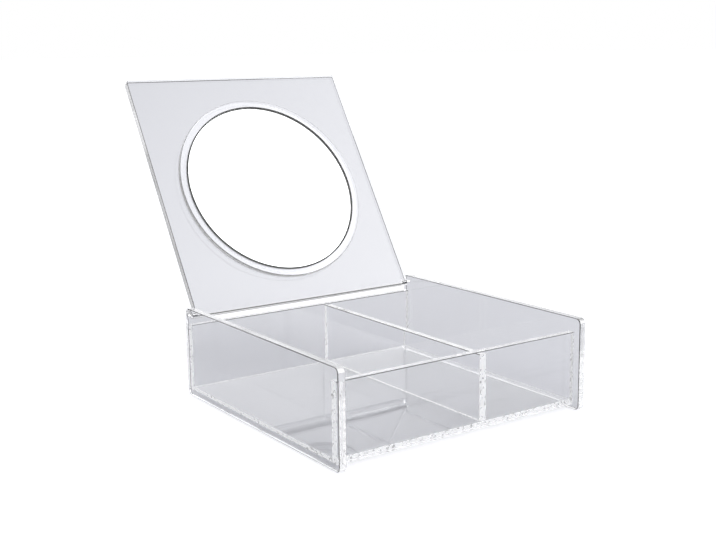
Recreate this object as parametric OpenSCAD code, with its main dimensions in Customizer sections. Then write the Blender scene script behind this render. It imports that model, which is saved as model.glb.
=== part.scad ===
// Clear acrylic makeup organizer: a two-compartment box with a hinged mirror lid.
// Millimetres. X runs along the hinge, Y to the back, Z up.
// The origin is on the table, under the middle of the space that box and open lid take.

/* [Box] */
// Width over the two side panels
box_w = 185; // [150:1:240]
// Depth of the side panels, front to back
box_d = 181; // [140:1:240]
// Height of the side panels above the hinge axis
side_rise = 5; // [3:0.1:12]
// Thickness of the side panels
side_t = 5; // [3:0.5:8]
// Corner radius of the side panels
side_corner_r = 3.5; // [2:0.5:5]

/* [Panels] */
// Thickness of the front and back panels
wall_t = 5; // [3:0.5:8]
// Thickness of the floor
floor_t = 3; // [2:0.5:8]
// Height of the floor's underside above the table
floor_lift = 3.2; // [1.5:0.1:8]
// Height of the front panel
front_h = 46.8; // [36:0.1:60]
// Gap between the closed lid and the top of the back panel
back_gap = 3.6; // [1:0.1:8]
// Distance of the front panel behind the side panels' front edges
front_setback = 5; // [1:0.5:12]
// Distance of the back panel inside the side panels' back edges
back_setback = 0.5; // [0.5:0.5:4]
// Width of the polished chamfer along exposed edges
polish = 0.4; // [0.1:0.1:0.8]
// Thickness of the cement film between glued panels
glue_line = 0.06; // [0.02:0.02:0.2]

/* [Divider] */
// Thickness of the divider
divider_t = 5; // [3:0.5:8]
// Distance of the divider's middle to the right of the box's middle
divider_x = 15.4; // [-40:0.1:40]
// Distance of the divider's top below the back panel's top
divider_drop = 0.6; // [0.5:0.1:20]

/* [Lid] */
// Thickness of the lid
lid_t = 5; // [3:0.5:6]
// Distance of the closed lid's free edge behind the side panels' front edges
lid_setback = 0.7; // [0:0.1:5]
// Gap between the closed lid and the top of the front panel
lid_rest_gap = 1.5; // [0.3:0.1:3]
// Gap between the lid and each side panel
lid_side_gap = 0.4; // [0.2:0.1:2]
// Radius of the lid's two free corners
lid_corner_r = 1.5; // [1:0.5:20]
// Angle between the closed lid and the open lid
lid_open = 122.4; // [90:0.1:150]

/* [Hinge] */
// Distance of the hinge axis in front of the side panels' back edges
hinge_inset = 3; // [3:0.1:8]
// Diameter of the hinge pins
pin_d = 2.4; // [1.5:0.1:3]
// Depth of each pin in the lid
pin_bite = 4.6; // [3:0.1:12]
// Radial clearance of a pin in the side panel that holds it
pin_seat_clear = 0.02; // [0.01:0.01:0.05]
// Radial clearance of a pin in the lid that turns on it
pin_run_clear = 0.06; // [0.03:0.01:0.1]
// Clearance past a pin's end in its blind hole
pin_end_clear = 0.4; // [0.2:0.1:1]

/* [Mirror] */
// Distance of the ring's outer edge inside an edge of a lid on which it is centred
ring_margin = 16.6; // [8:0.1:40]
// Distance of the mirror's middle from the lid's middle towards the hinge
mirror_shift = 2.8; // [0:0.1:10]
// Distance of the mirror's middle to the left of the lid's middle
mirror_offset = 0.7; // [-5:0.1:5]
// Thickness of the mirror's glass
mirror_t = 2; // [1.5:0.1:3]
// Thickness of the mirror's silvering and paint
backing_t = 0.1; // [0.05:0.05:0.1]
// Thickness of the double-sided tape under the mirror
tape_t = 0.6; // [0.3:0.1:1]
// Distance of the tape's edge inside the mirror's edge
tape_inset = 3; // [1:0.5:20]
// Gap between the mirror and its ring
mirror_gap = 0.5; // [0.3:0.1:1]
// Width of the ring round the mirror
ring_w = 5.5; // [3:0.5:6]
// Height of the ring above the lid
ring_t = 2.7; // [2:0.1:3.5]
// Radius of the ring's outer edge
ring_edge_r = 1; // [0.3:0.1:1.4]

/* [Hidden] */

clear_tint = [0.86, 0.88, 0.92, 0.45];
inner_w = box_w - 2 * side_t;
glued_w = inner_w - 2 * glue_line;
lid_w = inner_w - 2 * lid_side_gap;
lid_reach = box_d - hinge_inset - lid_setback;
// Distance from the hinge axis back to the furthest corner of the open lid
lid_lean = max(
    (polish - lid_reach) * cos(lid_open) + lid_t / 2 * sin(lid_open),
    -lid_reach * cos(lid_open) + (lid_t / 2 - polish) * sin(lid_open)
);
box_mid_y = -max(0, lid_lean - hinge_inset) / 2;
front_y = box_mid_y - box_d / 2 + front_setback;
back_y = box_mid_y + box_d / 2 - back_setback;
inner_front_y = front_y + wall_t;
inner_back_y = back_y - wall_t;
inner_d = inner_back_y - inner_front_y;
hinge_y = box_mid_y + box_d / 2 - hinge_inset;
hinge_z = floor_lift + front_h + lid_rest_gap + lid_t / 2;
side_h = hinge_z + side_rise;
back_h = hinge_z - lid_t / 2 - back_gap - floor_lift;
floor_top = floor_lift + floor_t;
divider_h = floor_lift + back_h - divider_drop - floor_top - glue_line;
ring_out_r = min(lid_w, lid_reach) / 2 - ring_margin;
ring_in_r = ring_out_r - ring_w;
mirror_r = ring_in_r - mirror_gap;
mirror_reach = lid_reach / 2 - mirror_shift;
round_fn = 180;
edge_fn = 64;
pin_fn = 48;
// Small length by which a cut runs past the face that it opens
past = 0.5;

// Outline of a sheet seen on its edge: a rectangle with its four corners chamfered
module edge_profile(length, thick, bevel) {
    polygon([
        [-length / 2 + bevel, 0], [length / 2 - bevel, 0],
        [length / 2, bevel], [length / 2, thick - bevel],
        [length / 2 - bevel, thick], [-length / 2 + bevel, thick],
        [-length / 2, thick - bevel], [-length / 2, bevel]
    ]);
}

// Disc or rod with a chamfer round both rims, standing on z = 0
module polished_disc(radius, thick, bevel) {
    rotate_extrude($fn = edge_fn)
        polygon([
            [0, 0], [radius - bevel, 0], [radius, bevel],
            [radius, thick - bevel], [radius - bevel, thick], [0, thick]
        ]);
}

// Sheet lying on z = 0 with round corners and every edge polished to a chamfer
module polished_sheet(length, width, thick, corner_r, bevel) {
    translate([0, width / 2 - corner_r, 0])
        rotate([90, 0, 0])
            linear_extrude(width - 2 * corner_r)
                edge_profile(length, thick, bevel);
    translate([-length / 2 + corner_r, 0, 0])
        rotate([90, 0, 90])
            linear_extrude(length - 2 * corner_r)
                edge_profile(width, thick, bevel);
    for (x = [-1, 1], y = [-1, 1])
        translate([x * (length / 2 - corner_r), y * (width / 2 - corner_r), 0])
            polished_disc(corner_r, thick, bevel);
}

// Upright sheet across the box with only its top edges polished, its foot on z = 0
module wall_sheet(height, thick) {
    rotate([90, 0, 90])
        translate([0, 0, -glued_w / 2])
            linear_extrude(glued_w)
                polygon([
                    [0, 0], [thick, 0], [thick, height - polish],
                    [thick - polish, height], [polish, height], [0, height - polish]
                ]);
}

// Side panel with its inner face on x = 0 and its body towards -x
module side_panel() {
    difference() {
        translate([-side_t, box_mid_y, side_h / 2])
            rotate([90, 0, 90])
                polished_sheet(box_d, side_h, side_t, side_corner_r, polish);
        translate([-side_t - past, hinge_y, hinge_z])
            rotate([0, 90, 0])
                cylinder(h = side_t + 2 * past, d = pin_d + 2 * pin_seat_clear, $fn = pin_fn);
    }
}

module left_side_panel() {
    color(clear_tint)
        translate([-inner_w / 2, 0, 0])
            side_panel();
}

module right_side_panel() {
    color(clear_tint)
        mirror([1, 0, 0])
            translate([-inner_w / 2, 0, 0])
                side_panel();
}

module floor_panel() {
    color(clear_tint)
        translate([-glued_w / 2, inner_front_y + glue_line, floor_lift])
            cube([glued_w, inner_d - 2 * glue_line, floor_t]);
}

module front_panel() {
    color(clear_tint)
        translate([0, front_y, floor_lift])
            wall_sheet(front_h, wall_t);
}

module back_panel() {
    color(clear_tint)
        translate([0, inner_back_y, floor_lift])
            wall_sheet(back_h, wall_t);
}

module compartment_divider() {
    color(clear_tint)
        translate([divider_x - divider_t / 2, inner_back_y - glue_line, floor_top + glue_line])
            rotate([90, 0, 0])
                linear_extrude(inner_d - 2 * glue_line)
                    polygon([
                        [0, 0], [divider_t, 0], [divider_t, divider_h - polish],
                        [divider_t - polish, divider_h], [polish, divider_h], [0, divider_h - polish]
                    ]);
}

// Puts what is drawn for the closed lid, with the hinge axis on the origin, at the open lid
module on_open_lid() {
    translate([0, hinge_y, hinge_z])
        rotate([-lid_open, 0, 0])
            children();
}

// Puts a round piece under the closed lid, with the lid's inner face on z = 0 and -z up
module under_lid() {
    on_open_lid()
        translate([-mirror_offset, -mirror_reach, -lid_t / 2])
            mirror([0, 0, 1])
                children();
}

// The lid: a polished sheet whose back end is a half round about the hinge axis
module lid_panel() {
    color(clear_tint)
        on_open_lid()
            difference() {
                union() {
                    rotate([0, 90, 0])
                        translate([0, 0, -lid_w / 2])
                            polished_disc(lid_t / 2, lid_w, polish);
                    lid_sheet();
                }
                for (side = [-1, 1])
                    translate([side * (lid_w / 2 + past), 0, 0])
                        rotate([0, -90 * side, 0])
                            cylinder(
                                h = pin_bite - lid_side_gap + pin_end_clear + past,
                                d = pin_d + 2 * pin_run_clear, $fn = pin_fn
                            );
            }
}

// The flat of the closed lid, from the hinge axis to the free edge at -y
module lid_sheet() {
    intersection() {
        translate([0, lid_corner_r - lid_reach / 2, -lid_t / 2])
            polished_sheet(lid_w, lid_reach + 2 * lid_corner_r, lid_t, lid_corner_r, polish);
        translate([-lid_w, -2 * lid_reach, -lid_t])
            cube([2 * lid_w, 2 * lid_reach, 2 * lid_t]);
    }
}

// Hinge pin from the side panel's outer face to its end in the lid
module hinge_pin(side) {
    color("silver")
        translate([side * box_w / 2, hinge_y, hinge_z])
            rotate([0, -90 * side, 0])
                cylinder(h = side_t + pin_bite, d = pin_d, $fn = pin_fn);
}

module hinge_pin_left() {
    hinge_pin(-1);
}

module hinge_pin_right() {
    hinge_pin(1);
}

module mirror_tape() {
    color("gainsboro")
        under_lid()
            cylinder(h = tape_t, r = mirror_r - tape_inset, $fn = round_fn);
}

module mirror_backing() {
    color("slategray")
        under_lid()
            translate([0, 0, tape_t])
                cylinder(h = backing_t, r = mirror_r, $fn = round_fn);
}

module mirror_glass() {
    color("white")
        under_lid()
            translate([0, 0, tape_t + backing_t])
                cylinder(h = mirror_t, r = mirror_r, $fn = round_fn);
}

// Raised ring with a rounded outer edge, glued to the lid round the mirror
module mirror_ring() {
    color(clear_tint)
        under_lid()
            rotate_extrude($fn = round_fn)
                union() {
                    translate([ring_in_r, glue_line])
                        square([ring_w - ring_edge_r, ring_t - glue_line]);
                    translate([ring_in_r, glue_line])
                        square([ring_w, ring_t - ring_edge_r - glue_line]);
                    intersection() {
                        translate([ring_out_r - ring_edge_r, ring_t - ring_edge_r])
                            circle(ring_edge_r, $fn = edge_fn);
                        translate([ring_in_r, glue_line])
                            square([ring_w, ring_t]);
                    }
                }
}

left_side_panel();
right_side_panel();
floor_panel();
front_panel();
back_panel();
compartment_divider();
lid_panel();
hinge_pin_left();
hinge_pin_right();
mirror_glass();
mirror_backing();
mirror_tape();
mirror_ring();
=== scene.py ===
"""Looks of the clear acrylic makeup organizer: finishes, glued seams, mirror and studio."""

import math

import bmesh
import bpy
from mathutils import Matrix, Vector, noise


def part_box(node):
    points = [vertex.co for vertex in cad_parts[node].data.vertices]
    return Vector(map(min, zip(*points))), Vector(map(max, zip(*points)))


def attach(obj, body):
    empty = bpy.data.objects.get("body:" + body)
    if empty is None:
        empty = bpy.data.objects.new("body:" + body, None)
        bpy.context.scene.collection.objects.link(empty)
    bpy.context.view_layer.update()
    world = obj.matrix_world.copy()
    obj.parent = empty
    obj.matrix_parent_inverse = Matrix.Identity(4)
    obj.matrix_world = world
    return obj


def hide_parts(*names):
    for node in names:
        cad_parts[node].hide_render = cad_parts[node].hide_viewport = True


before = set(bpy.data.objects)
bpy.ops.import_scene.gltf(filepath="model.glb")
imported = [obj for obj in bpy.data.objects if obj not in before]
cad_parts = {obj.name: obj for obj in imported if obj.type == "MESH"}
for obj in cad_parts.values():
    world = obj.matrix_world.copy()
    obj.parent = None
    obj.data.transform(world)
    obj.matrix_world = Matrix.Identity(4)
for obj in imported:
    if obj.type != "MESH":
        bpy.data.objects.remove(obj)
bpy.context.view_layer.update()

bl_info = {
    "name": "Acrylic Makeup Organizer",
    "version": (1, 0, 0),
    "blender": (4, 5, 0),
    "location": "View3D > Sidebar > Organizer",
    "description": "Finishes a clear acrylic organizer box with a hinged mirror lid",
    "category": "Object",
}

MM = 0.001
CASE, LID = "case", "lid"
MIRROR_LOW, MIRROR_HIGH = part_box("mirror_glass")
MIRROR_MIDDLE = (MIRROR_LOW + MIRROR_HIGH) / 2
TAPE_MIDDLE = sum(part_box("mirror_tape"), Vector()) / 2
# Out of the lid's inner face, towards whoever looks into the mirror
LID_INWARD = (MIRROR_MIDDLE - TAPE_MIDDLE).normalized()
# The direction across each sheet's thickness
SHEET_AXES = {
    "left_side_panel": (1, 0, 0),
    "right_side_panel": (1, 0, 0),
    "compartment_divider": (1, 0, 0),
    "front_panel": (0, 1, 0),
    "back_panel": (0, 1, 0),
    "floor_panel": (0, 0, 1),
    "lid_panel": LID_INWARD,
    "mirror_ring": LID_INWARD,
}
# The lowest and highest corner of each glued panel
LEFT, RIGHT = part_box("left_side_panel"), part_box("right_side_panel")
FLOOR, FRONT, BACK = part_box("floor_panel"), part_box("front_panel"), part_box("back_panel")
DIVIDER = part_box("compartment_divider")
BOX_MIDDLE_Y = (LEFT[0].y + LEFT[1].y) / 2

# How squarely a face looks across its sheet, from 0 to 1: cut edges stay under the first
# pair, chamfers lie between the second, and the sheet's own faces pass the third
EDGE_FULL, EDGE_GONE = 0.35, 0.5
CHAMFER_LOW, CHAMFER_HIGH = 0.6, 0.82
FACE_START, FACE_FULL = 0.92, 0.98
# Where a noise's dark tone ends and its pale tone begins
MOTTLE_DARK, MOTTLE_PALE = 0.3, 0.7
# What a lamp's light keeps at each surface of the clear sheet and of the mirror's glass
SHEET_PASSES = (0.975, 0.977, 0.982, 1.0)
GLASS_PASSES = (0.95, 0.96, 0.955, 1.0)
MIRROR_PAINT = (0.35, 0.37, 0.39)
TAPE_FOAM = (0.9, 0.9, 0.89)
# Where the sheet's handling marks start in their noise, where they are full, and how rough
MARK_START, MARK_FULL, MARK_HAZE = 0.66, 0.8, 0.03
# Bubbles in the cement: where in their noise they are darkest and gone, and their share of
# the cement's colour
BUBBLE_FULL, BUBBLE_GONE, BUBBLE_TONE = 0.36, 0.44, 0.3
# Holes in the cement: the same two places, how much film they leave, and how many there
# are to a bubble patch
HOLE_FULL, HOLE_GONE, HOLE_COVER, HOLE_SHARE = 0.34, 0.43, 0.3, 1.7
# The grain of the mirror's painted rim, and the drawn lines of the pins' steel
GRAIN_DARK, GRAIN_PALE = 0.35, 0.7
LINES_DARK, LINES_PALE = 0.3, 0.75

# Steps in a turned shape's full circle, and how close points are when they are merged
ROUND_STEPS = 256
MERGE_REACH = 1e-7
# Millimetres from the back of the mirror's glass (heights) or from its edge (margins)
GLASS_FOOT, GLASS_MARGIN = 0.03, 0.06
SILVER_LOW, SILVER_HIGH, SILVER_MARGIN = 0.005, 0.02, 0.3
# The dark rim reaches from inside the glass's edge into the ring: on the glass's ground edge it is
# the mirror's dark paint, across the gap to the ring it is painted shade. Outside the mirror's
# paint its foot hangs down to 0.1 mm above the lid
RIM_SUNK, RIM_CLEAR, RING_BITE, RIM_FOOT = 0.3, 0.05, 0.12, -0.6

# Where the softbox hangs, as the open lid's lower right corner mirrors it to the camera,
# and the cosines of the angles from its middle where its light starts and where it is full
SOFTBOX_DIRECTION = Vector((0.68, -0.6, 0.42)).normalized()
SOFTBOX_EDGE, SOFTBOX_CORE = 0.86, 0.995
# Where the soft lamp's light goes
LAMP_DIRECTION = Vector((-0.35, 0.55, -1.0)).normalized()
SKY_TINT = (0.985, 0.99, 1.0)
# The floor's faint cool cast, its half width, and how far it lies under the feet
FLOOR_TINT = (0.99, 0.995, 1.045)
FLOOR_REACH, FLOOR_DROP = 60.0, 0.00005
# The floor's slightly darker patches, as a share of its tone
FLOOR_PATCHES = 0.99
LIGHT_BOUNCES = 24
# The camera that the photograph's perspective gives: turns in radians, then its place from
# the middle of the box's foot along its own right, up and backward directions, in widths
# of the box
CAMERA_YAW, CAMERA_PITCH, CAMERA_ROLL = -0.6031561, 0.1926255, -0.0131455
CAMERA_RIGHT, CAMERA_UP, CAMERA_BACK = -0.0784082, 0.4611564, 3.93429
BOX_WIDTH = 0.185
# The camera's sensor in millimetres, and the nearest and farthest it sees in metres
SENSOR_WIDTH = 36.0
NEAREST_SEEN, FARTHEST_SEEN = 0.02, 80.0


# ---------------------------------------------------------------- node helpers


def blank_material(name):
    """A new node material with only its output node."""
    material = bpy.data.materials.new(name)
    material.use_nodes = True
    nodes = material.node_tree.nodes
    nodes.clear()
    return material, nodes, material.node_tree.links, nodes.new("ShaderNodeOutputMaterial")


def principled(nodes, **values):
    """A Principled shader with its own sockets set."""
    shader = nodes.new("ShaderNodeBsdfPrincipled")
    for label, value in values.items():
        shader.inputs[label.replace("_", " ")].default_value = value
    return shader


def object_noise(nodes, links, scale, detail=3.0, stretch=(1, 1, 1)):
    """Noise on Object coordinates; scale is in cycles a metre."""
    place = nodes.new("ShaderNodeTexCoord")
    mapping = nodes.new("ShaderNodeMapping")
    mapping.inputs["Scale"].default_value = stretch
    texture = nodes.new("ShaderNodeTexNoise")
    texture.inputs["Scale"].default_value = scale
    texture.inputs["Detail"].default_value = detail
    links.new(place.outputs["Object"], mapping.inputs["Vector"])
    links.new(mapping.outputs["Vector"], texture.inputs["Vector"])
    return texture


def ramp(nodes, links, source, stops):
    """A colour ramp on a grey output; stops are (place, colour) pairs in rising order."""
    node = nodes.new("ShaderNodeValToRGB")
    elements = node.color_ramp.elements
    while len(elements) < len(stops):
        # Any place will do, because the next loop sets it
        elements.new(0.5)
    for element, (place, colour) in zip(elements, stops):
        element.position = place
        element.color = colour
    links.new(source, node.inputs["Fac"])
    return node


def mottled(nodes, links, source, dark, pale):
    """A colour that drifts between a dark and a pale tone with a noise."""
    return ramp(nodes, links, source, [(MOTTLE_DARK, dark), (MOTTLE_PALE, pale)])


def grey(value):
    """A plain grey as an RGBA colour."""
    return (value, value, value, 1.0)


def dimmed(colour, share):
    """An RGBA colour times a share."""
    return (colour[0] * share, colour[1] * share, colour[2] * share, 1.0)


def bump(nodes, links, height, strength, distance):
    """A bump node fed by a height output; distance is in metres."""
    node = nodes.new("ShaderNodeBump")
    node.inputs["Strength"].default_value = strength
    node.inputs["Distance"].default_value = distance
    links.new(height, node.inputs["Height"])
    return node


def let_lamps_through(nodes, links, shader, output, passed):
    """Clear sheet casts only a light shadow, as real acrylic does."""
    path = nodes.new("ShaderNodeLightPath")
    clear = nodes.new("ShaderNodeBsdfTransparent")
    clear.inputs["Color"].default_value = passed
    mix = nodes.new("ShaderNodeMixShader")
    links.new(path.outputs["Is Shadow Ray"], mix.inputs["Fac"])
    links.new(shader.outputs["BSDF"], mix.inputs[1])
    links.new(clear.outputs["BSDF"], mix.inputs[2])
    links.new(mix.outputs["Shader"], output.inputs["Surface"])


# ---------------------------------------------------------------- mesh helpers


def finished_piece(name, shape, body, material):
    """Turns a bmesh in the frame's coordinates into a piece that rides on a body."""
    bmesh.ops.recalc_face_normals(shape, faces=shape.faces)
    mesh = bpy.data.meshes.new(name)
    shape.to_mesh(mesh)
    shape.free()
    mesh.materials.append(material)
    piece = bpy.data.objects.new(name, mesh)
    bpy.context.scene.collection.objects.link(piece)
    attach(piece, body)
    return piece


def add_block(shape, low, high):
    """Adds a block between two corners to a bmesh."""
    low, high = Vector(low), Vector(high)
    verts = bmesh.ops.create_cube(shape, size=1.0)["verts"]
    bmesh.ops.scale(shape, vec=high - low, verts=verts)
    bmesh.ops.translate(shape, vec=(low + high) / 2, verts=verts)


def ragged_film(low, high, step, depth, rate):
    """A thin cement film between two corners, whose long edges wander inwards by up to depth."""
    shape = bmesh.new()
    add_block(shape, low, high)
    spans = [far - near for near, far in zip(low, high)]
    long_way, thin_way = spans.index(max(spans)), spans.index(min(spans))
    wide_way = ({0, 1, 2} - {long_way, thin_way}).pop()
    lengthwise = [
        edge for edge in shape.edges
        if abs(edge.verts[0].co[long_way] - edge.verts[1].co[long_way]) > depth
    ]
    cuts = round(spans[long_way] / step)
    bmesh.ops.subdivide_edges(shape, edges=lengthwise, cuts=cuts, use_grid_fill=True)
    middle = (Vector(low) + Vector(high)) / 2
    for vert in shape.verts:
        spot = vert.co.copy()
        spot[thin_way] = middle[thin_way]
        inwards = -1 if spot[wide_way] > middle[wide_way] else 1
        vert.co[wide_way] += inwards * depth * (1 + noise.noise(spot * rate)) / 2
    return shape


def mirror_matrix(settings):
    """Carries a round shape about the z axis onto the mirror's glass, its back on z = 0."""
    back = MIRROR_MIDDLE - LID_INWARD * settings.thickness * MM / 2
    return Matrix.Translation(back) @ LID_INWARD.to_track_quat("Z", "Y").to_matrix().to_4x4()


def turned(profile):
    """Spins a closed line of (radius, height) points in millimetres round the z axis."""
    shape = bmesh.new()
    verts = [shape.verts.new((radius * MM, 0, height * MM)) for radius, height in profile]
    edges = [shape.edges.new(pair) for pair in zip(verts, verts[1:] + verts[:1])]
    bmesh.ops.spin(
        shape, geom=verts + edges, cent=(0, 0, 0), axis=(0, 0, 1), dvec=(0, 0, 0),
        angle=2 * math.pi, steps=ROUND_STEPS, use_merge=True,
    )
    bmesh.ops.remove_doubles(shape, verts=shape.verts, dist=MERGE_REACH)
    return shape


# ---------------------------------------------------------------- settings


class OrganizerAcrylic(bpy.types.PropertyGroup):
    """The clear sheet that the panels, the lid and the ring are cut from"""

    tint: bpy.props.FloatVectorProperty(
        name="Tint", description="Colour of the clear sheet", subtype="COLOR", size=3,
        min=0, max=1, default=(0.992, 0.993, 1.0),
    )
    ior: bpy.props.FloatProperty(
        name="IOR", description="How strongly the sheet bends light", default=1.491,
    )
    waviness: bpy.props.FloatProperty(
        name="Waviness", description="Height of the cast sheet's slow waves",
        default=0.00008, unit="LENGTH", precision=6,
    )
    edge_haze: bpy.props.FloatProperty(
        name="Edge haze", description="Roughness that sanding left on the polished edges",
        default=0.12, min=0, max=1,
    )
    # Painted glow: emission on the cut edges, standing in for the light the sheet pipes out of
    # them
    painted_edge_glow: bpy.props.FloatProperty(
        name="Edge glow", description="Light that the sheet pipes out of its cut edges",
        default=0.1, min=0, max=1,
    )
    # Painted glow: emission on the lid's cut edges, standing in for the light the wide lid pipes
    # out of them
    painted_lid_glow: bpy.props.FloatProperty(
        name="Lid edge glow", description="Light that the wide lid pipes out of its cut edges",
        default=0.28, min=0, max=1,
    )
    # Painted glow: emission on the ring's face, which makes it a bright band
    painted_ring_glow: bpy.props.FloatProperty(
        name="Ring glow", description="Light that leaves the face of the narrow mirror ring",
        default=0.05, min=0, max=1,
    )
    # Painted shade: the chamfers' colour drops to this share, so they show as dark lines
    painted_chamfer_shade: bpy.props.FloatProperty(
        name="Arris tone", description="How much light the narrow chamfers let to the eye",
        default=0.06, min=0, max=1,
    )


class OrganizerSeams(bpy.types.PropertyGroup):
    """The cement in the box's glued joints"""

    bite: bpy.props.FloatProperty(
        name="Bite", description="How far the cement has softened its way into each sheet",
        default=0.00002, unit="LENGTH", precision=6,
    )
    inset: bpy.props.FloatProperty(
        name="Inset", description="How far the cement film ends inside the sheets' outer faces",
        default=0.00008, unit="LENGTH", precision=6,
    )
    ragged: bpy.props.FloatProperty(
        name="Ragged", description="How far the film's edges wander inwards",
        default=0.0005, unit="LENGTH", precision=5,
    )
    step: bpy.props.FloatProperty(
        name="Step", description="Length between the points of the film's edges",
        default=0.001, unit="LENGTH", precision=5,
    )
    wander: bpy.props.FloatProperty(
        name="Wander", description="Waves of the film's edges in a metre of seam", default=260.0,
    )
    colour: bpy.props.FloatVectorProperty(
        name="Colour", description="Colour of the cement's fine bubbles", subtype="COLOR",
        size=3, min=0, max=1, default=(0.93, 0.935, 0.95),
    )
    bubble_rate: bpy.props.FloatProperty(
        name="Bubble rate", description="Bubble patches in a metre of seam", default=520.0,
    )
    # Painted glow: emission on the cement, standing in for the light the sheets pipe into it
    painted_glow: bpy.props.FloatProperty(
        name="Glow", description="Light that the sheets pipe into the cement", default=0.27,
    )


class OrganizerMirror(bpy.types.PropertyGroup):
    """The round mirror on the lid"""

    radius: bpy.props.FloatProperty(
        name="Radius", description="Radius of the mirror in millimetres",
        default=(MIRROR_HIGH.x - MIRROR_LOW.x) / 2 / MM,
    )
    thickness: bpy.props.FloatProperty(
        name="Thickness", description="Thickness of the glass in millimetres", default=2.0,
    )
    arris: bpy.props.FloatProperty(
        name="Arris", description="Width of the ground arris in millimetres", default=0.25,
    )
    gap: bpy.props.FloatProperty(
        name="Gap", description="Gap between the mirror and its ring in millimetres",
        default=0.5,
    )
    silver: bpy.props.FloatVectorProperty(
        name="Silver", description="Colour of the silvering", subtype="COLOR", size=3,
        min=0, max=1, default=(0.97, 0.97, 0.975),
    )
    # The rim's near-black colour is the glass edge's paint, and across the gap to the ring painted
    # shade
    rim: bpy.props.FloatVectorProperty(
        name="Rim", description="Colour of the glass's ground and painted rim",
        subtype="COLOR", size=3, min=0, max=1, default=(0.003, 0.003, 0.003),
    )


class OrganizerStage(bpy.types.PropertyGroup):
    """The floor, the room's light and the camera"""

    lens: bpy.props.FloatProperty(
        name="Lens", description="Focal length of the camera in millimetres", default=56.381,
    )
    floor_tone: bpy.props.FloatProperty(
        name="Floor tone", description="How pale the floor is", default=0.705, min=0, max=1,
    )
    floor_lift: bpy.props.FloatProperty(
        name="Floor lift", description="What brings the open floor to white for the camera",
        default=0.46, min=0, max=1,
    )
    sky_light: bpy.props.FloatProperty(
        name="Sky light", description="Light of the room on matt surfaces", default=0.88,
    )
    sun_power: bpy.props.FloatProperty(
        name="Sun power", description="Strength of the wide soft lamp", default=0.5,
    )
    sun_width: bpy.props.FloatProperty(
        name="Sun width", description="Angle that the soft lamp fills",
        default=math.radians(50), subtype="ANGLE",
    )
    room_tone: bpy.props.FloatProperty(
        name="Room tone", description="How pale the room looks in acrylic and in the mirror",
        default=1.0,
    )
    softbox: bpy.props.FloatProperty(
        name="Softbox", description="How bright the softbox looks in acrylic and in the mirror",
        default=3.4,
    )


# ---------------------------------------------------------------- materials


def facing_share(nodes, links, axis):
    """How squarely a face looks along an axis of its piece: 1 on a sheet's face, 0 on its edge."""
    place = nodes.new("ShaderNodeTexCoord")
    product = nodes.new("ShaderNodeVectorMath")
    product.operation = "DOT_PRODUCT"
    product.inputs[1].default_value = axis
    links.new(place.outputs["Normal"], product.inputs[0])
    size = nodes.new("ShaderNodeMath")
    size.operation = "ABSOLUTE"
    links.new(product.outputs["Value"], size.inputs[0])
    return size


def acrylic_material(name, settings, axis, painted_edge_glow, painted_face_glow):
    """Clear cast acrylic: slow waves, handling marks, a painted glow on the cut edges and painted
    shade on the chamfers.
    """
    material, nodes, links, output = blank_material(name)
    tint = (*settings.tint, 1.0)
    shader = principled(nodes, Transmission_Weight=1.0, IOR=settings.ior)
    cloud = object_noise(nodes, links, scale=35.0, detail=2.0)
    tone = mottled(nodes, links, cloud.outputs["Fac"], dimmed(tint, share=0.992), tint)
    facing = facing_share(nodes, links, axis)
    # Painted shade: the clear sheet's colour is darkened on the chamfers, which draws dark lines
    # along the edges
    arris = ramp(nodes, links, facing.outputs["Value"], [
        (EDGE_GONE, grey(1.0)), (CHAMFER_LOW, grey(settings.painted_chamfer_shade)),
        (CHAMFER_HIGH, grey(settings.painted_chamfer_shade)), (FACE_START, grey(1.0)),
    ])
    tone_with_chamfer_shade = nodes.new("ShaderNodeVectorMath")
    tone_with_chamfer_shade.operation = "MULTIPLY"
    links.new(tone.outputs["Color"], tone_with_chamfer_shade.inputs[0])
    links.new(arris.outputs["Color"], tone_with_chamfer_shade.inputs[1])
    links.new(tone_with_chamfer_shade.outputs["Vector"], shader.inputs["Base Color"])
    # Painted glow: emission on the cut edges, and on the sheet's faces where a face glow is given
    painted_glow = ramp(nodes, links, facing.outputs["Value"], [
        (EDGE_FULL, dimmed(tint, painted_edge_glow)), (EDGE_GONE, grey(0.0)),
        (FACE_START, grey(0.0)), (FACE_FULL, dimmed(tint, painted_face_glow)),
    ])
    shader.inputs["Emission Strength"].default_value = 1.0
    links.new(painted_glow.outputs["Color"], shader.inputs["Emission Color"])
    marks = object_noise(nodes, links, scale=2600.0, detail=2.0, stretch=(1, 0.12, 1))
    rough = ramp(nodes, links, marks.outputs["Fac"],
                 [(MARK_START, grey(0.0)), (MARK_FULL, grey(MARK_HAZE))])
    edge = ramp(nodes, links, facing.outputs["Value"],
                [(EDGE_FULL, grey(settings.edge_haze)), (EDGE_GONE, grey(0.0))])
    rougher = nodes.new("ShaderNodeMath")
    rougher.operation = "MAXIMUM"
    links.new(rough.outputs["Color"], rougher.inputs[0])
    links.new(edge.outputs["Color"], rougher.inputs[1])
    links.new(rougher.outputs["Value"], shader.inputs["Roughness"])
    waves = object_noise(nodes, links, scale=14.0, detail=1.0)
    wavy = bump(nodes, links, waves.outputs["Fac"], strength=1.0, distance=settings.waviness)
    links.new(wavy.outputs["Normal"], shader.inputs["Normal"])
    let_lamps_through(nodes, links, shader, output, SHEET_PASSES)
    return material


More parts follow.
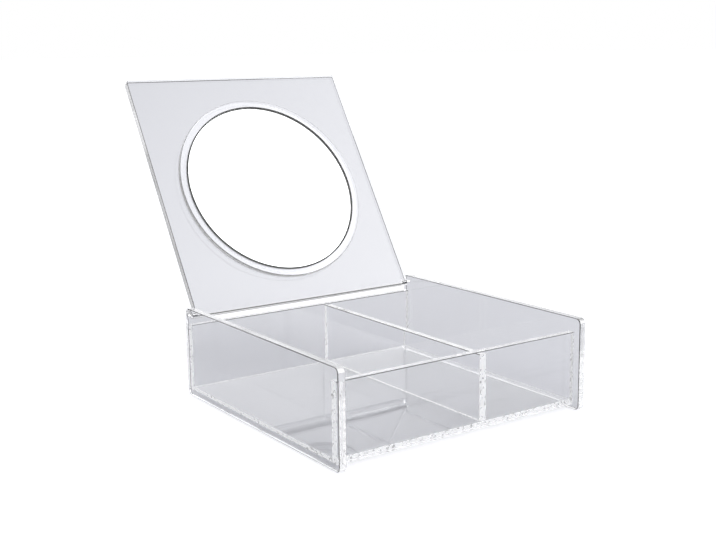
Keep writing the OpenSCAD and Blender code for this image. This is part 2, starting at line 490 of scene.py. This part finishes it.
def cement_material(name, settings):
    """White cement film, speckled with bubbles and clear patches, with a painted glow of its own.
    """
    material, nodes, links, output = blank_material(name)
    # Painted glow: the cement gives off white light of its own
    shader = principled(nodes, Roughness=0.45, IOR=1.45, Emission_Strength=settings.painted_glow)
    shader.inputs["Emission Color"].default_value = grey(1.0)
    patches = object_noise(nodes, links, scale=settings.bubble_rate, detail=2.0)
    tint = (*settings.colour, 1.0)
    tone = ramp(nodes, links, patches.outputs["Fac"],
                [(BUBBLE_FULL, dimmed(tint, BUBBLE_TONE)), (BUBBLE_GONE, tint)])
    links.new(tone.outputs["Color"], shader.inputs["Base Color"])
    fine = object_noise(nodes, links, scale=settings.bubble_rate * HOLE_SHARE, detail=2.0)
    holes = ramp(nodes, links, fine.outputs["Fac"],
                 [(HOLE_FULL, grey(HOLE_COVER)), (HOLE_GONE, grey(1.0))])
    links.new(holes.outputs["Color"], shader.inputs["Alpha"])
    relief = bump(nodes, links, fine.outputs["Fac"], strength=0.6, distance=0.0002)
    links.new(relief.outputs["Normal"], shader.inputs["Normal"])
    links.new(shader.outputs["BSDF"], output.inputs["Surface"])
    return material


def silver_material(name, colour):
    """Silvering seen through the mirror's glass."""
    material, nodes, links, output = blank_material(name)
    shader = principled(nodes, Metallic=1.0, Roughness=0.0)
    cloud = object_noise(nodes, links, scale=60.0, detail=2.0)
    tint = (*colour, 1.0)
    tone = mottled(nodes, links, cloud.outputs["Fac"], dimmed(tint, share=0.99), tint)
    links.new(tone.outputs["Color"], shader.inputs["Base Color"])
    links.new(shader.outputs["BSDF"], output.inputs["Surface"])
    return material


def mirror_glass_material(name):
    """Clear float glass with a faint green cast."""
    material, nodes, links, output = blank_material(name)
    shader = principled(nodes, Transmission_Weight=1.0, IOR=1.52, Roughness=0.0)
    cloud = object_noise(nodes, links, scale=25.0, detail=2.0)
    tone = mottled(nodes, links, cloud.outputs["Fac"],
                   dark=(0.985, 0.995, 0.99, 1), pale=(0.995, 1, 0.998, 1))
    links.new(tone.outputs["Color"], shader.inputs["Base Color"])
    let_lamps_through(nodes, links, shader, output, GLASS_PASSES)
    return material


def dark_rim_and_gap_shade_material(name, colour):
    """Ground glass edge, painted dark, and the same dark across the gap to the ring as painted
    shade.
    """
    material, nodes, links, output = blank_material(name)
    shader = principled(nodes, Roughness=0.6, Specular_IOR_Level=0.1)
    grain = object_noise(nodes, links, scale=3000.0, detail=3.0)
    tint = (*colour, 1.0)
    tone = ramp(nodes, links, grain.outputs["Fac"],
                [(GRAIN_DARK, dimmed(tint, share=0.6)), (GRAIN_PALE, dimmed(tint, share=1.8))])
    links.new(tone.outputs["Color"], shader.inputs["Base Color"])
    relief = bump(nodes, links, grain.outputs["Fac"], strength=0.4, distance=0.00005)
    links.new(relief.outputs["Normal"], shader.inputs["Normal"])
    links.new(shader.outputs["BSDF"], output.inputs["Surface"])
    return material


def matt_material(name, colour, grain_scale, roughness):
    """A matt finish with a fine grain."""
    material, nodes, links, output = blank_material(name)
    shader = principled(nodes, Roughness=roughness)
    grain = object_noise(nodes, links, scale=grain_scale, detail=4.0)
    tint = (*colour, 1.0)
    tone = mottled(nodes, links, grain.outputs["Fac"], dimmed(tint, share=0.85), tint)
    links.new(tone.outputs["Color"], shader.inputs["Base Color"])
    relief = bump(nodes, links, grain.outputs["Fac"], strength=0.3, distance=0.0001)
    links.new(relief.outputs["Normal"], shader.inputs["Normal"])
    links.new(shader.outputs["BSDF"], output.inputs["Surface"])
    return material


def steel_material(name):
    """Drawn steel with fine lengthwise lines."""
    material, nodes, links, output = blank_material(name)
    shader = principled(nodes, Metallic=1.0, Roughness=0.3)
    lines = object_noise(nodes, links, scale=900.0, detail=3.0, stretch=(0.1, 6, 6))
    tone = ramp(nodes, links, lines.outputs["Fac"],
                [(LINES_DARK, grey(0.42)), (LINES_PALE, grey(0.62))])
    links.new(tone.outputs["Color"], shader.inputs["Base Color"])
    relief = bump(nodes, links, lines.outputs["Fac"], strength=0.3, distance=0.00003)
    links.new(relief.outputs["Normal"], shader.inputs["Normal"])
    links.new(shader.outputs["BSDF"], output.inputs["Surface"])
    return material


def paint(node, material):
    """Gives a CAD node its finish."""
    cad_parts[node].material_slots[0].material = material


# ---------------------------------------------------------------- operators


class ORGANIZER_OT_finish_panels(bpy.types.Operator):
    """Finishes the glued panels, the lid and the ring as clear acrylic"""

    bl_idname = "organizer.finish_panels"
    bl_label = "Finish Panels"

    def execute(self, context):
        settings = context.scene.organizer_acrylic
        for node, axis in SHEET_AXES.items():
            # Painted glow on the cut edges of each sheet, and on the ring's face
            painted_edge_glow = settings.painted_lid_glow if node == "lid_panel" else settings.painted_edge_glow
            painted_face_glow = settings.painted_ring_glow if node == "mirror_ring" else 0.0
            paint(node, acrylic_material(f"acrylic_{node}", settings, axis, painted_edge_glow, painted_face_glow))
        return {"FINISHED"}


class ORGANIZER_OT_glue_seams(bpy.types.Operator):
    """Lays the bubbly cement film into every glued joint of the box"""

    bl_idname = "organizer.glue_seams"
    bl_label = "Glue Seams"

    def execute(self, context):
        settings = context.scene.organizer_seams
        cement = cement_material("seam_cement", settings)
        bite, inset = settings.bite, settings.inset
        films = {}
        gaps_x = (("left", LEFT[1].x, FLOOR[0].x), ("right", FLOOR[1].x, RIGHT[0].x))
        for side, low_x, high_x in gaps_x:
            for name, (low, high) in (("floor", FLOOR), ("front", FRONT), ("back", BACK)):
                films[f"seam_{name}_{side}"] = (
                    (low_x - bite, low.y + inset, low.z + inset),
                    (high_x + bite, high.y - inset, high.z - inset),
                )
        gaps_y = (("front", FRONT[1].y, FLOOR[0].y), ("back", FLOOR[1].y, BACK[0].y))
        for end, low_y, high_y in gaps_y:
            for name, (low, high) in (("floor", FLOOR), ("divider", DIVIDER)):
                films[f"seam_{name}_{end}"] = (
                    (low.x + inset, low_y - bite, low.z + inset),
                    (high.x - inset, high_y + bite, high.z - inset),
                )
        films["seam_divider_floor"] = (
            (DIVIDER[0].x + inset, DIVIDER[0].y + inset, FLOOR[1].z - bite),
            (DIVIDER[1].x - inset, DIVIDER[1].y - inset, DIVIDER[0].z + bite),
        )
        for name, (low, high) in films.items():
            shape = ragged_film(low, high, settings.step, settings.ragged, settings.wander)
            finished_piece(name, shape, CASE, cement)
        return {"FINISHED"}


class ORGANIZER_OT_mirror(bpy.types.Operator):
    """Makes the mirror: silvering, glass, a dark rim that is partly painted shade, and finishes
    its paint and tape
    """

    bl_idname = "organizer.mirror"
    bl_label = "Mirror"

    def execute(self, context):
        settings = context.scene.organizer_mirror
        place = mirror_matrix(settings)
        radius, arris = settings.radius, settings.arris
        top, glass_edge = settings.thickness, radius - GLASS_MARGIN
        glass = turned([
            (0, GLASS_FOOT), (glass_edge, GLASS_FOOT), (glass_edge, top - arris),
            (glass_edge - arris, top), (0, top),
        ])
        glass.transform(place)
        piece = finished_piece("mirror_float_glass", glass, LID,
                               mirror_glass_material("mirror_float_glass"))
        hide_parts("mirror_glass")
        silver_edge = radius - SILVER_MARGIN
        silver = turned([
            (0, SILVER_LOW), (silver_edge, SILVER_LOW),
            (silver_edge, SILVER_HIGH), (0, SILVER_HIGH),
        ])
        silver.transform(place)
        finished_piece("mirror_silvering", silver, LID,
                       silver_material("mirror_silvering", settings.silver))
        # Painted shade: the dark rim fills the gap between the glass and the ring
        rim_inside, rim_outside = radius - RIM_SUNK, radius + settings.gap + RING_BITE
        rim = turned([
            (rim_inside, GLASS_FOOT), (rim_inside, top - arris),
            (rim_outside, top - arris), (rim_outside, RIM_FOOT),
            (radius + RIM_CLEAR, RIM_FOOT), (radius + RIM_CLEAR, GLASS_FOOT),
        ])
        rim.transform(place)
        finished_piece("mirror_rim", rim, LID,
                       dark_rim_and_gap_shade_material("mirror_rim", settings.rim))
        paint("mirror_backing", matt_material(
            "mirror_paint", MIRROR_PAINT, grain_scale=900.0, roughness=0.7))
        paint("mirror_tape", matt_material(
            "tape_foam", TAPE_FOAM, grain_scale=1500.0, roughness=0.9))
        return {"FINISHED"}


class ORGANIZER_OT_hinge_pins(bpy.types.Operator):
    """Finishes the two hinge pins as drawn steel"""

    bl_idname = "organizer.hinge_pins"
    bl_label = "Hinge Pins"

    def execute(self, context):
        steel = steel_material("pin_steel")
        for node in ("hinge_pin_left", "hinge_pin_right"):
            paint(node, steel)
        return {"FINISHED"}


class ORGANIZER_OT_stage(bpy.types.Operator):
    """Sets up the pale floor, the room light, the soft lamp and the camera"""

    bl_idname = "organizer.stage"
    bl_label = "Stage"

    def execute(self, context):
        settings = context.scene.organizer_stage
        self.floor(settings)
        self.room(context, settings)
        self.lamp(context, settings)
        self.camera(context, settings)
        context.scene.view_settings.view_transform = "Standard"
        cycles = context.scene.cycles
        cycles.max_bounces = LIGHT_BOUNCES
        cycles.transmission_bounces = LIGHT_BOUNCES
        cycles.glossy_bounces = LIGHT_BOUNCES
        cycles.transparent_max_bounces = LIGHT_BOUNCES
        return {"FINISHED"}

    def floor(self, settings):
        """A wide pale floor that the camera sees as white where it is open"""
        material, nodes, links, output = blank_material("studio_floor")
        cloud = object_noise(nodes, links, scale=3.0, detail=2.0)
        tone = mottled(nodes, links, cloud.outputs["Fac"],
                       dimmed(FLOOR_TINT, settings.floor_tone * FLOOR_PATCHES),
                       dimmed(FLOOR_TINT, settings.floor_tone))
        plain = nodes.new("ShaderNodeBsdfDiffuse")
        links.new(tone.outputs["Color"], plain.inputs["Color"])
        path = nodes.new("ShaderNodeLightPath")
        lift = nodes.new("ShaderNodeEmission")
        lift.inputs["Color"].default_value = grey(1.0)
        seen = nodes.new("ShaderNodeMath")
        seen.operation = "MULTIPLY"
        seen.inputs[1].default_value = settings.floor_lift
        links.new(path.outputs["Is Camera Ray"], seen.inputs[0])
        links.new(seen.outputs["Value"], lift.inputs["Strength"])
        add = nodes.new("ShaderNodeAddShader")
        links.new(plain.outputs["BSDF"], add.inputs[0])
        links.new(lift.outputs["Emission"], add.inputs[1])
        links.new(add.outputs["Shader"], output.inputs["Surface"])
        shape = bmesh.new()
        bmesh.ops.create_grid(shape, x_segments=2, y_segments=2, size=FLOOR_REACH)
        bmesh.ops.translate(shape, vec=(0, 0, -FLOOR_DROP), verts=shape.verts)
        mesh = bpy.data.meshes.new("studio_floor")
        shape.to_mesh(mesh)
        shape.free()
        mesh.materials.append(material)
        floor = bpy.data.objects.new("studio_floor", mesh)
        bpy.context.scene.collection.objects.link(floor)

    def room(self, context, settings):
        """White for the camera, plain light for matt surfaces, a softbox for glossy ones"""
        world = bpy.data.worlds.new("studio_room")
        context.scene.world = world
        world.use_nodes = True
        nodes, links = world.node_tree.nodes, world.node_tree.links
        nodes.clear()
        output = nodes.new("ShaderNodeOutputWorld")
        light = nodes.new("ShaderNodeBackground")
        light.inputs["Color"].default_value = dimmed(SKY_TINT, 1.0)
        light.inputs["Strength"].default_value = settings.sky_light
        seen = nodes.new("ShaderNodeBackground")
        direction = nodes.new("ShaderNodeTexCoord")
        towards = nodes.new("ShaderNodeVectorMath")
        towards.operation = "DOT_PRODUCT"
        towards.inputs[1].default_value = SOFTBOX_DIRECTION
        links.new(direction.outputs["Generated"], towards.inputs[0])
        soft = ramp(nodes, links, towards.outputs["Value"], [
            (SOFTBOX_EDGE, dimmed(SKY_TINT, settings.room_tone)),
            (SOFTBOX_CORE, grey(settings.softbox)),
        ])
        links.new(soft.outputs["Color"], seen.inputs["Color"])
        white = nodes.new("ShaderNodeBackground")
        white.inputs["Color"].default_value = grey(1.0)
        path = nodes.new("ShaderNodeLightPath")
        sharp = nodes.new("ShaderNodeMath")
        sharp.operation = "MAXIMUM"
        links.new(path.outputs["Is Glossy Ray"], sharp.inputs[0])
        links.new(path.outputs["Is Transmission Ray"], sharp.inputs[1])
        first = nodes.new("ShaderNodeMixShader")
        links.new(sharp.outputs["Value"], first.inputs["Fac"])
        links.new(light.outputs["Background"], first.inputs[1])
        links.new(seen.outputs["Background"], first.inputs[2])
        second = nodes.new("ShaderNodeMixShader")
        links.new(path.outputs["Is Camera Ray"], second.inputs["Fac"])
        links.new(first.outputs["Shader"], second.inputs[1])
        links.new(white.outputs["Background"], second.inputs[2])
        links.new(second.outputs["Shader"], output.inputs["Surface"])

    def lamp(self, context, settings):
        """One wide soft lamp that isn't seen in glossy surfaces or through the sheet"""
        data = bpy.data.lights.new("soft_lamp", "SUN")
        data.energy = settings.sun_power
        data.angle = settings.sun_width
        lamp = bpy.data.objects.new("soft_lamp", data)
        context.scene.collection.objects.link(lamp)
        lamp.rotation_euler = LAMP_DIRECTION.to_track_quat("-Z", "Y").to_euler()
        lamp.visible_glossy = False
        lamp.visible_transmission = False

    def camera(self, context, settings):
        """The camera at the photograph's viewing angle"""
        data = bpy.data.cameras.new("camera")
        data.lens = settings.lens
        data.sensor_width = SENSOR_WIDTH
        data.clip_start = NEAREST_SEEN
        data.clip_end = FARTHEST_SEEN
        camera = bpy.data.objects.new("camera", data)
        context.scene.collection.objects.link(camera)
        level = math.cos(CAMERA_PITCH)
        back = Vector((
            math.sin(CAMERA_YAW) * level, -math.cos(CAMERA_YAW) * level, math.sin(CAMERA_PITCH),
        ))
        right = Vector((math.cos(CAMERA_YAW), math.sin(CAMERA_YAW), 0))
        up = back.cross(right)
        side = right * math.cos(CAMERA_ROLL) + up * math.sin(CAMERA_ROLL)
        head = up * math.cos(CAMERA_ROLL) - right * math.sin(CAMERA_ROLL)
        place = (side * CAMERA_RIGHT + head * CAMERA_UP + back * CAMERA_BACK) * BOX_WIDTH
        place.y += BOX_MIDDLE_Y
        turn = Matrix((side, head, back)).transposed().to_4x4()
        camera.matrix_world = Matrix.Translation(place) @ turn
        context.scene.camera = camera


class ORGANIZER_PT_sidebar(bpy.types.Panel):
    """Lists the organizer's making steps and their sizes and colours"""

    bl_idname = "ORGANIZER_PT_sidebar"
    bl_label = "Makeup Organizer"
    bl_space_type = "VIEW_3D"
    bl_region_type = "UI"
    bl_category = "Organizer"

    def draw(self, context):
        scene = context.scene
        for operator, group in STEPS:
            box = self.layout.box()
            box.operator(operator)
            if group:
                settings = getattr(scene, group)
                for name in settings.bl_rna.properties.keys():
                    if name not in ("rna_type", "name"):
                        box.prop(settings, name)


STEPS = (
    ("organizer.finish_panels", "organizer_acrylic"),
    ("organizer.glue_seams", "organizer_seams"),
    ("organizer.mirror", "organizer_mirror"),
    ("organizer.hinge_pins", None),
    ("organizer.stage", "organizer_stage"),
)
GROUPS = {
    "organizer_acrylic": OrganizerAcrylic,
    "organizer_seams": OrganizerSeams,
    "organizer_mirror": OrganizerMirror,
    "organizer_stage": OrganizerStage,
}
CLASSES = (
    OrganizerAcrylic, OrganizerSeams, OrganizerMirror, OrganizerStage,
    ORGANIZER_OT_finish_panels, ORGANIZER_OT_glue_seams, ORGANIZER_OT_mirror,
    ORGANIZER_OT_hinge_pins, ORGANIZER_OT_stage, ORGANIZER_PT_sidebar,
)


def register():
    """Adds the classes, and their settings to the scene"""
    for cls in CLASSES:
        bpy.utils.register_class(cls)
    for name, group in GROUPS.items():
        setattr(bpy.types.Scene, name, bpy.props.PointerProperty(type=group))


def unregister():
    """Takes the settings and the classes away again"""
    for name in GROUPS:
        delattr(bpy.types.Scene, name)
    for cls in reversed(CLASSES):
        bpy.utils.unregister_class(cls)


def main():
    """Makes the whole scene"""
    register()
    for operator, _ in STEPS:
        section, name = operator.split(".")
        getattr(getattr(bpy.ops, section), name)()


if __name__ == "__main__":
    main()
